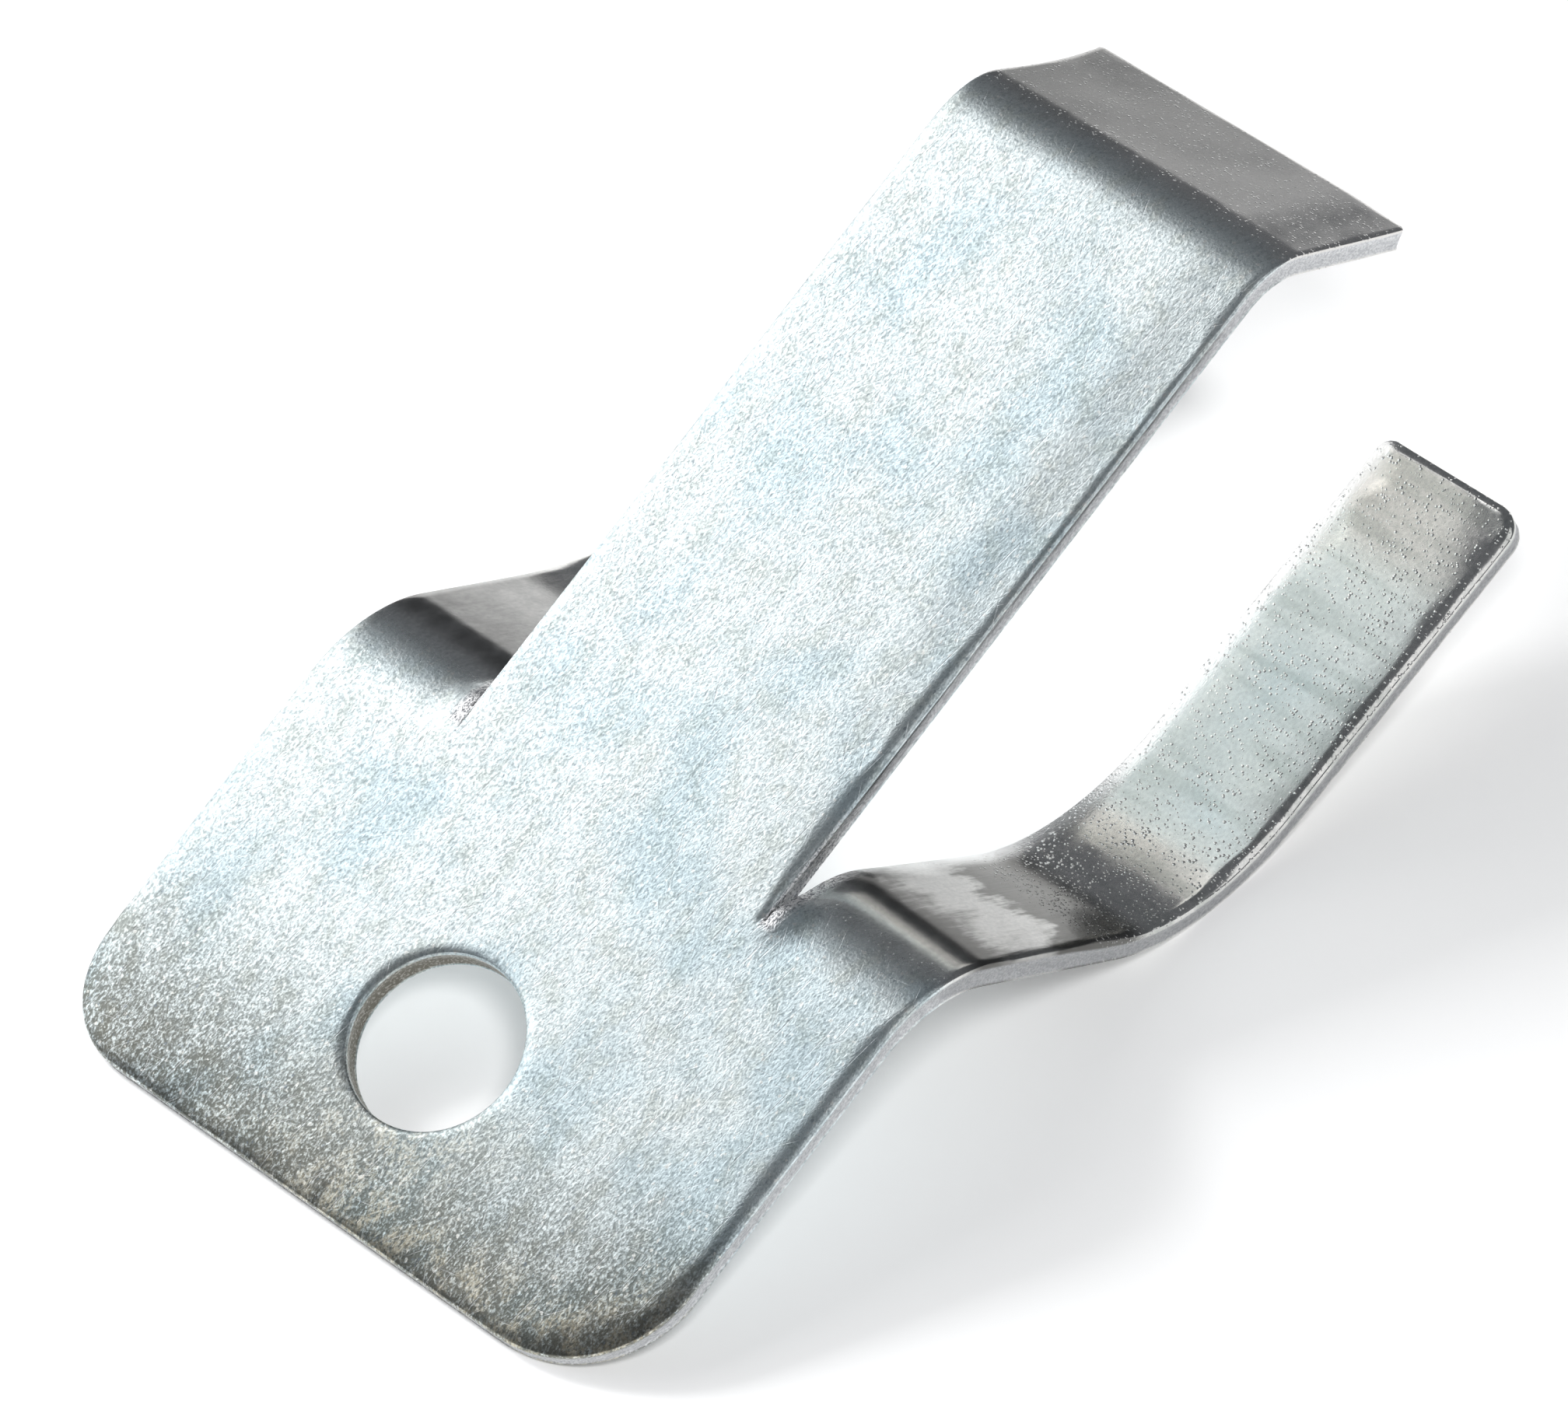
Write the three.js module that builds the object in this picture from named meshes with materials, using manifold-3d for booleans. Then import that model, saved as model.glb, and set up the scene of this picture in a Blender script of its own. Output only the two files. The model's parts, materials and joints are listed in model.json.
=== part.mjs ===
// A one-piece spring clip, stamped from sheet steel. A plate with a screw hole carries a
// wide flat tongue that ends in a turned-down lip. Two narrow legs, sheared free on either
// side of the tongue, are joggled down and run below it, so that tongue and legs grip an
// edge pushed in between them.
//
// The clip is drawn as its blank lies in the press: X runs from the plate's back edge along
// the tongue, Y across, and Z = 0 is the upper face of plate and tongue. It is then tipped
// into the pose in which it lies on a bench, on its back edge and both legs.

import * as THREE from 'three';
import { mergeVertices } from 'three/addons/utils/BufferGeometryUtils.js';
import Module from 'manifold-3d';

// Driving dimensions, in millimetres and degrees
const sheetThickness = 1.0;

// The two sides of the plate, each with its slit and its leg. A leg drops from the plate in
// one bend, runs down a straight slope, and is levelled by a second bend; each radius is
// that of the upper face.
const leftSide = {
  sign: 1,
  halfWidth: 14.2,
  backCornerRadius: 3.8,
  slitRoot: 18.6,
  bendStart: 16.15,
  bendRadius: 6.6,
  slope: 54.5,
  slopeLength: 5.45,
  levelRadius: 25.4,
  legEnd: 48.5,
};
const rightSide = {
  sign: -1,
  halfWidth: 14.6,
  backCornerRadius: 5.3,
  slitRoot: 18.0,
  bendStart: 16.2,
  bendRadius: 6.55,
  slope: 56.5,
  slopeLength: 8.5,
  levelRadius: 10.3,
  legEnd: 49.0,
};
const slitWidth = 0.2;
const legEndSlope = 2.5;
const legInnerCornerRadius = 0.6;
const legOuterCornerRadius = 1.2;

// Screw hole, a touch to the left of the tongue's centre line
const holeDiameter = 7.0;
const holeFromBackEdge = 7.5;
const holeToTheLeft = 0.1;

// Tongue and lip: the tongue stays in the plate's plane
const tongueHalfWidth = 7.65;
const tongueFlatEnd = 46.9;
const lipBendRadius = 4.0;
const lipSlope = 51;
const lipLength = 6.6;

// Fineness of the facets
const degreesPerBendFacet = 2.5;
const degreesPerCornerFacet = 7.5;
const holeFacets = 72;

// How far a leg reaches into the tongue's strip, where the two are still one sheet
const sheetOverlap = 0.1;

// Half the size of a cutter that reaches past the whole clip
const cutterReach = 40;

// A strip seen from the side, laid out length by length and bend by bend. Its points give
// the upper face, and each has a twin on the lower face, square to the sheet.
class StripProfile {
  constructor() {
    this.point = new THREE.Vector2(0, 0);
    this.heading = 0;
    this.upperFace = [];
    this.lowerFace = [];
    this.record();
  }

  record() {
    const through = new THREE.Vector2(Math.sin(this.heading), -Math.cos(this.heading));
    this.upperFace.push(this.point.clone());
    this.lowerFace.push(this.point.clone().addScaledVector(through, sheetThickness));
  }

  straight(length) {
    this.point.x += length * Math.cos(this.heading);
    this.point.y += length * Math.sin(this.heading);
    this.record();
    return this;
  }

  straightTo(x) {
    return this.straight((x - this.point.x) / Math.cos(this.heading));
  }

  // Turns upwards by a positive angle and downwards by a negative one
  bend(degrees, radius) {
    const facets = Math.ceil(Math.abs(degrees) / degreesPerBendFacet);
    const turn = THREE.MathUtils.degToRad(degrees) / facets;
    const chord = 2 * radius * Math.sin(Math.abs(turn) / 2);
    for (let facet = 0; facet < facets; facet += 1) {
      this.point.x += chord * Math.cos(this.heading + turn / 2);
      this.point.y += chord * Math.sin(this.heading + turn / 2);
      this.heading += turn;
      this.record();
    }
    return this;
  }

  // The strip as a solid from one place across the clip to another
  geometry(fromY, toY) {
    const outline = [...this.upperFace, ...this.lowerFace.slice().reverse()];
    const shape = new THREE.Shape(outline);
    const strip = new THREE.ExtrudeGeometry(shape, { depth: toY - fromY, bevelEnabled: false });
    strip.rotateX(Math.PI / 2);
    strip.translate(0, toY, 0);
    return strip;
  }
}

function tongueGeometry() {
  return new StripProfile()
    .straight(tongueFlatEnd)
    .bend(-lipSlope, lipBendRadius)
    .straight(lipLength)
    .geometry(-tongueHalfWidth, tongueHalfWidth);
}

// A strip as wide as the whole clip, bent like the leg of one side
function legStripGeometry({ bendStart, bendRadius, slope, slopeLength, levelRadius, legEnd }) {
  return new StripProfile()
    .straight(bendStart)
    .bend(-slope, bendRadius)
    .straight(slopeLength)
    .bend(slope - legEndSlope, levelRadius)
    .straightTo(legEnd)
    .geometry(-rightSide.halfWidth, leftSide.halfWidth);
}

function cornerPoints(centreX, centreY, radius, fromDegrees) {
  const facets = Math.round(90 / degreesPerCornerFacet);
  const points = [];
  for (let i = 0; i <= facets; i += 1) {
    const angle = THREE.MathUtils.degToRad(fromDegrees - i * degreesPerCornerFacet);
    const x = centreX + radius * Math.cos(angle);
    const y = centreY + radius * Math.sin(angle);
    points.push(new THREE.Vector2(x, y));
  }
  return points;
}

// The outline from above of one leg and its share of the plate, as a tall cutter
function legOutlineGeometry({ sign, halfWidth, backCornerRadius, slitRoot, legEnd }) {
  const joinedEdge = tongueHalfWidth - sheetOverlap;
  const freeEdge = tongueHalfWidth + slitWidth;
  const outer = legOuterCornerRadius;
  const inner = legInnerCornerRadius;
  const outline = [
    new THREE.Vector2(0, joinedEdge),
    ...cornerPoints(backCornerRadius, halfWidth - backCornerRadius, backCornerRadius, 180),
    ...cornerPoints(legEnd - outer, halfWidth - outer, outer, 90),
    ...cornerPoints(legEnd - inner, freeEdge + inner, inner, 0),
    new THREE.Vector2(slitRoot, freeEdge),
    new THREE.Vector2(slitRoot, joinedEdge),
  ];
  for (const point of outline) {
    point.y *= sign;
  }
  const shape = new THREE.Shape(outline);
  const cutter = new THREE.ExtrudeGeometry(shape, { depth: 2 * cutterReach, bevelEnabled: false });
  cutter.translate(0, 0, -cutterReach);
  return cutter;
}

function holeGeometry() {
  const radius = holeDiameter / 2;
  const punch = new THREE.CylinderGeometry(radius, radius, 2 * cutterReach, holeFacets);
  punch.rotateX(Math.PI / 2);
  punch.translate(holeFromBackEdge, holeToTheLeft, 0);
  return punch;
}

const wasm = await Module();
wasm.setup();

function toSolid(geometry) {
  geometry.deleteAttribute('normal');
  geometry.deleteAttribute('uv');
  const merged = mergeVertices(geometry);
  const mesh = new wasm.Mesh({
    numProp: 3,
    vertProperties: merged.attributes.position.array,
    triVerts: new Uint32Array(merged.index.array),
  });
  return new wasm.Manifold(mesh);
}

function toGeometry(solid) {
  const { vertProperties, triVerts } = solid.getMesh();
  const geometry = new THREE.BufferGeometry();
  geometry.setAttribute('position', new THREE.BufferAttribute(vertProperties, 3));
  geometry.setIndex(new THREE.BufferAttribute(triVerts, 1));
  const faceted = geometry.toNonIndexed();
  faceted.computeVertexNormals();
  return faceted;
}

function legSolid(side) {
  return toSolid(legStripGeometry(side)).intersect(toSolid(legOutlineGeometry(side)));
}

function clipGeometry() {
  const clip = toSolid(tongueGeometry()).add(legSolid(leftSide)).add(legSolid(rightSide));
  return toGeometry(clip.subtract(toSolid(holeGeometry())));
}

// The angle between the plate and the bench: a line from the plate's lower back edge that
// just touches the round underside of the right leg's second bend. The left leg, bent to a
// wider round, comes down to the same height.
function restAngle() {
  const { bendStart, bendRadius, slopeLength, levelRadius } = rightSide;
  const slope = THREE.MathUtils.degToRad(rightSide.slope);
  const bothRadii = bendRadius + levelRadius;
  const bendCentreX = bendStart + bothRadii * Math.sin(slope) + slopeLength * Math.cos(slope);
  const bendCentreZ = bothRadii * Math.cos(slope) - bendRadius - slopeLength * Math.sin(slope);
  const backEdgeToCentre = new THREE.Vector2(bendCentreX, bendCentreZ + sheetThickness);
  const undersideRadius = levelRadius + sheetThickness;
  return Math.asin(undersideRadius / backEdgeToCentre.length()) - backEdgeToCentre.angle();
}

const zincPlatedSteel = new THREE.MeshStandardMaterial({
  color: 0xc6ced6,
  metalness: 1,
  roughness: 0.38,
});

const clip = new THREE.Mesh(clipGeometry(), zincPlatedSteel);
clip.name = 'spring_clip';
clip.rotation.y = -restAngle();

// Stands the clip on Z = 0 with the middle of its box over the origin
const group = new THREE.Group();
group.add(clip);
const box = new THREE.Box3().setFromObject(group, true);
clip.position.set(-(box.min.x + box.max.x) / 2, -(box.min.y + box.max.y) / 2, -box.min.z);

export default group;
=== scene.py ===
"""The looks of a one-piece spring clip, stamped from sheet steel and zinc plated.

The clip is built as the press makes it. Its blank is drawn flat, in millimetres: s runs from
the plate's back edge along the tongue, y runs across, and depth goes down into the sheet. The
cut edges get their die roll, smooth land and torn fracture, and then tongue and legs are bent.
"""

import json
import math

import bpy
import numpy as np
from mathutils import Matrix, Vector
from mathutils.geometry import delaunay_2d_cdt
from mathutils.kdtree import KDTree


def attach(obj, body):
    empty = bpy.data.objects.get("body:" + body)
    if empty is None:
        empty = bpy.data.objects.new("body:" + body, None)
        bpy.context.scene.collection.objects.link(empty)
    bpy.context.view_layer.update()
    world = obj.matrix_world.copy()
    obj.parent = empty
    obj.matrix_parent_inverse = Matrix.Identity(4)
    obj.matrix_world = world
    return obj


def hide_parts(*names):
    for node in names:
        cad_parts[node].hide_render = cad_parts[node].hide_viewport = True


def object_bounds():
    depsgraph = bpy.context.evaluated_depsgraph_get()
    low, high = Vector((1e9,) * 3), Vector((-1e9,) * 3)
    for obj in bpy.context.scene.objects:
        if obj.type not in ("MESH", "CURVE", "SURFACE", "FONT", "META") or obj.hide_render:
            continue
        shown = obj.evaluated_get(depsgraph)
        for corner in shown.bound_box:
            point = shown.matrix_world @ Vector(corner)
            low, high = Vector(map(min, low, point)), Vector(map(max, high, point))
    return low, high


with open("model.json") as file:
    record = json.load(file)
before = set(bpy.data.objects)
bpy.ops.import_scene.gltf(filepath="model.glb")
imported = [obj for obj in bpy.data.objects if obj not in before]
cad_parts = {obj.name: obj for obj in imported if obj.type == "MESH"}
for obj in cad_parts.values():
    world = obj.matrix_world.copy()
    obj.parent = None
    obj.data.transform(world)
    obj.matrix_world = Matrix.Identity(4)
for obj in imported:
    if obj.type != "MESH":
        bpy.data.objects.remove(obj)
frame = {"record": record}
cad_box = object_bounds()

MM = 0.001

# The blank's outline, in millimetres, as the CAD part has it
THICKNESS = 1.0
LEFT = dict(
    sign=1,
    half_width=14.2,
    slit_root=18.6,
    back_corner=3.8,
    inner_bends=(16.15, 6.6, 54.5, 5.45, 25.4),
    outer_bends=(16.15, 6.6, 54.5, 5.45, 25.4),
    leg_end_x=48.5,
)
RIGHT = dict(
    sign=-1,
    half_width=14.6,
    slit_root=18.0,
    back_corner=5.3,
    inner_bends=(16.4, 6.7, 59.0, 6.95, 10.9),
    outer_bends=(16.2, 6.55, 56.5, 8.5, 10.3),
    leg_end_x=49.0,
)
HOLE_RADIUS = 3.5
HOLE_CENTRE = (7.5, 0.1)
TONGUE_HALF_WIDTH = 7.65
TONGUE_CORNER = 0.25
SLIT_GAP = 0.05
LEG_OUTER_CORNER = 1.2
LEG_INNER_CORNER = 0.6

# Bends, in millimetres and degrees: each radius is that of the upper face
TONGUE_FLAT_END = 46.9
LIP_SLOPE = 51
LIP_RADIUS = 4.0
LIP_LENGTH = 6.6
LEG_END_SLOPE = 2.5
LEG_BEND_START = 16.15
SLOPE_END = 29.0

# How each kind of cut edge is rolled over by the die: how wide, how deep, and the radius of
# the corner that is left at its foot
ROLLS = {
    "back": (1.3, 0.25, 0.1),
    "outer": (0.8, 0.2, 0.09),
    "outer_left": (0.9, 0.1, 0.05),
    "slope_outer": (0.45, 0.12, 0.08),
    "slope_outer_left": (0.4, 0.06, 0.05),
    "leg_outer": (0.55, 0.2, 0.1),
    "leg_outer_left": (0.5, 0.08, 0.05),
    "leg_end": (0.55, 0.16, 0.1),
    "leg_inner": (1.4, 0.2, 0.03),
    "slit_root": (0.4, 0.02, 0.02),
    "tongue_root": (0.7, 0.19, 0.08),
    "tongue_root_left": (0.5, 0.08, 0.05),
    "tongue": (0.42, 0.1, 0.06),
    "tongue_left": (0.5, 0.08, 0.05),
    "lip_side": (0.3, 0.05, 0.05),
    "lip_end": (0.25, 0.03, 0.04),
    "hole": (0.5, 0.11, 0.06),
}

# Where one kind of edge gives way to the next
TONGUE_ROOT_END = 30.5
BEND_ROLL_OVERLAP = 1
LIP_ROLL_OVERLAP = 2

# A roll is deepest at the edge, and its width wanders by a share of itself along the edge
ROLL_POWER = 2.4
ROLL_UNEVENNESS = 0.35
ROLL_UNEVEN_LENGTH = 1.6
ROLL_BLEND_POINTS = 7

# How far apart the outline's points lie, where nothing finer is needed
OUTLINE_STEP = 0.14
HOLE_STEP = 0.1
LIP_CORNER_STEP = 0.08


def line(start, end, kind):
    """Points from start up to, but not including, end."""
    count = max(1, round(math.dist(start, end) / OUTLINE_STEP))
    along, across = end[0] - start[0], end[1] - start[1]
    return [(start[0] + along * i / count, start[1] + across * i / count, kind) for i in range(count)]


def arc(centre, radius, from_degrees, to_degrees, kind, step=OUTLINE_STEP):
    """Points round a centre, up to but not including the last."""
    turn = math.radians(to_degrees - from_degrees)
    count = max(4, round(radius * abs(turn) / step))
    points = []
    for i in range(count):
        angle = math.radians(from_degrees) + turn * i / count
        points.append((centre[0] + radius * math.cos(angle), centre[1] + radius * math.sin(angle), kind))
    return points


# A strip is a list of (length, curvature) pairs, and its last length runs on without end
RUNS_ON = 1000.0


def bend(degrees, radius):
    turn = math.radians(degrees)
    return (abs(turn) * radius, math.copysign(1 / radius, turn))


def tongue_strip():
    return [(TONGUE_FLAT_END, 0), bend(-LIP_SLOPE, LIP_RADIUS), (RUNS_ON, 0)]


def leg_strip(bends):
    """A leg's lengths and curvatures, from where its bend starts, its radius and its slope,
    the length of the slope, and the radius of the bend that levels it."""
    start, radius, slope, slope_length, level_radius = bends
    return [
        (start, 0),
        bend(-slope, radius),
        (slope_length, 0),
        bend(slope - LEG_END_SLOPE, level_radius),
        (RUNS_ON, 0),
    ]


def follow(strip, s):
    """The place (x, z) and the heading of a strip's upper face, the length s along it."""
    x = np.zeros_like(s)
    z = np.zeros_like(s)
    heading = np.zeros_like(s)
    start = 0.0
    for length, curvature in strip:
        along = np.clip(s - start, 0, length)
        if curvature:
            turned = heading + curvature * along
            x += (np.sin(turned) - np.sin(heading)) / curvature
            z += (np.cos(heading) - np.cos(turned)) / curvature
            heading = turned
        else:
            x += along * np.cos(heading)
            z += along * np.sin(heading)
        start += length
    return x, z, heading


LONGEST_STRIP = 80
LENGTHS_TRIED = 16001


def flat_length(strip, end_x):
    """The length of blank that reaches end_x once the strip is bent."""
    s = np.linspace(0, LONGEST_STRIP, LENGTHS_TRIED)
    x = follow(strip, s)[0]
    return float(np.interp(end_x, x, s))


TONGUE_LENGTH = TONGUE_FLAT_END + math.radians(LIP_SLOPE) * LIP_RADIUS + LIP_LENGTH
for side in (LEFT, RIGHT):
    strips = [leg_strip(side["inner_bends"]), leg_strip(side["outer_bends"])]
    side["leg_length"] = min(flat_length(strip, side["leg_end_x"]) for strip in strips)

# The bend has drawn the lip's left side in a little, between the bend and the corner
LIP_WAIST = 0.22
LIP_WAIST_START = 50.4


def lip_waist(s):
    share = np.clip((s - LIP_WAIST_START) / (TONGUE_LENGTH - LIP_WAIST_START), 0, 1)
    return LIP_WAIST * np.sin(math.pi * share)


def half_outline(side):
    """Along one side, from the middle of the back edge to the middle of the lip's end."""
    width, corner = side["half_width"], side["back_corner"]
    tongue, inner = TONGUE_HALF_WIDTH, TONGUE_HALF_WIDTH + SLIT_GAP
    root = (side["slit_root"] + SLIT_GAP / 2, TONGUE_HALF_WIDTH + SLIT_GAP / 2)
    leg_end, tip = side["leg_length"], TONGUE_LENGTH
    outer_start, inner_start = leg_end - LEG_OUTER_CORNER, leg_end - LEG_INNER_CORNER
    outer_foot, inner_foot = width - LEG_OUTER_CORNER, inner + LEG_INNER_CORNER
    bend_end = LEG_BEND_START + BEND_ROLL_OVERLAP
    lip_start = TONGUE_FLAT_END + LIP_ROLL_OVERLAP
    tip_start, tip_foot = tip - TONGUE_CORNER, tongue - TONGUE_CORNER
    path = line((0, 0), (0, width - corner), "back")
    path += arc((corner, width - corner), corner, 180, 90, "back")
    path += line((corner, width), (bend_end, width), "outer")
    path += line((bend_end, width), (SLOPE_END, width), "slope_outer")
    path += line((SLOPE_END, width), (outer_start, width), "leg_outer")
    path += arc((outer_start, outer_foot), LEG_OUTER_CORNER, 90, 0, "leg_end")
    path += line((leg_end, outer_foot), (leg_end, inner_foot), "leg_end")
    path += arc((inner_start, inner_foot), LEG_INNER_CORNER, 0, -90, "leg_end")
    path += line((inner_start, inner), (root[0], inner), "leg_inner")
    path += arc(root, SLIT_GAP / 2, 90, 270, "slit_root", step=SLIT_GAP / 4)
    path += line((root[0], tongue), (TONGUE_ROOT_END, tongue), "tongue_root")
    path += line((TONGUE_ROOT_END, tongue), (lip_start, tongue), "tongue")
    path += line((lip_start, tongue), (tip_start, tongue), "lip_side")
    path += arc((tip_start, tip_foot), TONGUE_CORNER, 90, 0, "lip_end", step=LIP_CORNER_STEP)
    path += line((tip, tip_foot), (tip, 0), "lip_end")
    if side is LEFT:
        path = [(s, y - lip_waist(s) * (kind == "lip_side"), kind) for s, y, kind in path]
        path = [(s, y, kind + "_left" if kind + "_left" in ROLLS else kind) for s, y, kind in path]
    return [(s, side["sign"] * y, kind) for s, y, kind in path]


class Loop:
    """A closed path with the sheet on its left, its roll sizes, and its inward directions."""

    def __init__(self, path):
        self.points = np.array([(s, y) for s, y, _ in path])
        rolls = np.array([ROLLS[kind] for _, _, kind in path])
        window = range(-ROLL_BLEND_POINTS, ROLL_BLEND_POINTS + 1)
        self.rolls = sum(np.roll(rolls, k, axis=0) for k in window) / len(window)
        ahead = np.roll(self.points, -1, axis=0) - self.points
        ahead /= np.linalg.norm(ahead, axis=1)[:, None]
        mean = ahead + np.roll(ahead, 1, axis=0)
        mean /= np.linalg.norm(mean, axis=1)[:, None]
        self.inward = np.stack([-mean[:, 1], mean[:, 0]], axis=1)
        steps = np.linalg.norm(np.roll(self.points, -1, axis=0) - self.points, axis=1)
        self.along = np.concatenate([[0], np.cumsum(steps)[:-1]])


right_half = half_outline(RIGHT)
left_half = half_outline(LEFT)
tip_middle = [(TONGUE_LENGTH, 0, "lip_end")]
outline = Loop(right_half + tip_middle + left_half[:0:-1])
hole = Loop(arc(HOLE_CENTRE, HOLE_RADIUS, 360, 0, "hole", step=HOLE_STEP))
loops = [outline, hole]

loop_points = np.concatenate([loop.points for loop in loops])
loop_rolls = np.concatenate([loop.rolls for loop in loops])
loop_inward = np.concatenate([loop.inward for loop in loops])
loop_along = np.concatenate([loop.along for loop in loops])
loop_starts = np.cumsum([0] + [len(loop.points) for loop in loops])

nearest_edge = KDTree(len(loop_points))
for i, (s, y) in enumerate(loop_points):
    nearest_edge.insert((s, y, 0), i)
nearest_edge.balance()


def ring_neighbours(i):
    """The points before and after a loop's point i."""
    start = loop_starts[0] if i < loop_starts[1] else loop_starts[1]
    end = loop_starts[1] if i < loop_starts[1] else loop_starts[2]
    count = end - start
    return start + (i - start - 1) % count, start + (i - start + 1) % count


def distance_to_segment(p, a, b):
    ab = b - a
    t = np.clip(np.dot(p - a, ab) / np.dot(ab, ab), 0, 1)
    return float(np.hypot(*(p - a - t * ab)))


def edge_distances(points):
    """Each point's distance from the nearest cut edge, and which of the loops' points it faces."""
    distances = np.zeros(len(points))
    nearest = np.zeros(len(points), int)
    for n, p in enumerate(points):
        i = nearest_edge.find((p[0], p[1], 0))[1]
        before, after = ring_neighbours(i)
        distances[n] = min(
            distance_to_segment(p, loop_points[i], loop_points[before]),
            distance_to_segment(p, loop_points[i], loop_points[after]),
        )
        nearest[n] = i
    return distances, nearest


# Rows of points beside the edges: shares of the roll's foot radius, shares of the rest of the
# roll's width, and, on the lower face, millimetres
CORNER_ROWS = [0.04, 0.15, 0.36, 0.66, 1.0]
ROLL_ROWS = [0.06, 0.14, 0.24, 0.36, 0.5, 0.66, 0.84, 1.04]
LOWER_ROWS = [0.08, 0.45]


def top_rows():
    """How far in from the edge each row of points lies, for every point of the loops."""
    width, _, corner = loop_rolls.T
    rows = [corner * part for part in CORNER_ROWS]
    rows += [corner + (width - corner) * part for part in ROLL_ROWS]
    return rows


def bottom_rows():
    return [np.full(len(loop_points), distance) for distance in LOWER_ROWS]


def spaced(stops):
    """Places from the first stop to the last; each stop says the step to use from there on."""
    places = []
    for (start, step), (end, _) in zip(stops, stops[1:]):
        count = max(1, math.ceil((end - start) / step))
        places += [start + (end - start) * i / count for i in range(count)]
    return places


# The grid's steps in millimetres, and how far past each bend it stays fine
FLAT_STEP = 0.36
BEND_STEP = 0.18
GRID_START = 0.3
GRID_EDGE = 0.2
BEND_MARGIN = 0.5
LEG_BEND_MARGIN = 0.8
LIP_BEND_SPAN = 4.2
LOWER_FACE_COARSENESS = 2.0


def grid_points(coarseness):
    """Points over the whole sheet, closer together along s wherever it is bent."""
    flat_step = FLAT_STEP * coarseness
    bend_step = BEND_STEP * coarseness
    leg_ends = np.cumsum([length for length, _ in leg_strip(RIGHT["outer_bends"])])
    tongue_places = spaced([
        (GRID_START, flat_step),
        (TONGUE_FLAT_END - BEND_MARGIN, bend_step),
        (TONGUE_FLAT_END + LIP_BEND_SPAN, flat_step),
        (TONGUE_LENGTH, flat_step),
    ])
    leg_places = spaced([
        (GRID_START, flat_step),
        (LEG_BEND_START - BEND_MARGIN, bend_step),
        (leg_ends[1] + LEG_BEND_MARGIN, flat_step),
        (leg_ends[2] - BEND_MARGIN, bend_step),
        (leg_ends[3] + BEND_MARGIN, flat_step),
        (RIGHT["leg_length"], flat_step),
    ])
    points = []
    across = np.arange(-RIGHT["half_width"] + GRID_EDGE, LEFT["half_width"], flat_step)
    for y in across:
        places = tongue_places if abs(y) < TONGUE_HALF_WIDTH else leg_places
        shift = 0.5 * (round(y / flat_step) % 2)
        for s, after in zip(places, places[1:]):
            points.append((s + shift * (after - s), y))
    return np.array(points)


def rounded_off(s, y, end, edge, radius):
    """Which places the rounding takes away from the corner at s = end and y = edge."""
    beyond = (s > end - radius) & (y > edge - radius)
    return beyond & (np.hypot(s - end + radius, y - edge + radius) >= radius)


def inside_sheet(points):
    s, y = points[:, 0], np.abs(points[:, 1])
    on_left = points[:, 1] > 0
    on_side = {key: np.where(on_left, LEFT[key], RIGHT[key]) for key in RIGHT if "bends" not in key}
    width, leg_end = on_side["half_width"], on_side["leg_length"]
    cut_back = rounded_off(-s, y, 0, width, on_side["back_corner"])
    in_plate = (s > 0) & (y < width) & ~cut_back
    in_hole = np.hypot(s - HOLE_CENTRE[0], points[:, 1] - HOLE_CENTRE[1]) < HOLE_RADIUS
    tongue = (s < TONGUE_LENGTH) & (y < TONGUE_HALF_WIDTH - np.where(on_left, lip_waist(s), 0))
    gap_edge = TONGUE_HALF_WIDTH + SLIT_GAP
    cut_outer = rounded_off(s, y, leg_end, width, LEG_OUTER_CORNER)
    cut_inner = rounded_off(s, -y, leg_end, -gap_edge, LEG_INNER_CORNER)
    leg = (s < leg_end) & (y > gap_edge) & ~cut_outer & ~cut_inner
    return in_plate & ~in_hole & (tongue | leg | (s < on_side["slit_root"]))


# What keeps the mesh's points from crowding: shares of a row's distance from the edge and of
# the outline's step, and millimetres
ROW_SHARE = 0.985
ROW_SLACK = 0.002
CLOSEST_IN_ROW = 0.4
GRID_CLEARANCE = 0.16
MERGE_DISTANCE = 1e-7


def triangulate(rows, grid):
    """Fills the sheet from the loops' own points, rows beside them, and a grid. Gives back the
    points, the triangles, and where the loops' points are among them."""
    kept = [loop_points]
    for row in rows:
        candidates = loop_points + loop_inward * row[:, None]
        inside = inside_sheet(candidates)
        candidates, row = candidates[inside], row[inside]
        chosen = candidates[edge_distances(candidates)[0] > ROW_SHARE * row - ROW_SLACK]
        spread = []
        for p in chosen:
            if not spread or math.dist(p, spread[-1]) > CLOSEST_IN_ROW * OUTLINE_STEP:
                spread.append(p)
        kept.append(np.array(spread))
    inner = grid[inside_sheet(grid)]
    distances, nearest = edge_distances(inner)
    kept.append(inner[distances > rows[-1][nearest] + GRID_CLEARANCE])
    edges = []
    for start, end in zip(loop_starts, loop_starts[1:]):
        edges += [(i, i + 1) for i in range(start, end - 1)] + [(end - 1, start)]
    given = [Vector(p) for p in np.concatenate(kept)]
    made = delaunay_2d_cdt(given, edges, [], 1, MERGE_DISTANCE, True)
    points, triangles = np.array([tuple(v) for v in made[0]]), np.array(made[2])
    triangles = triangles[inside_sheet(points[triangles].mean(axis=1))]
    place_of = {sources[0]: place for place, sources in enumerate(made[3]) if sources}
    return points, triangles, np.array([place_of[i] for i in range(len(loop_points))])


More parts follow.
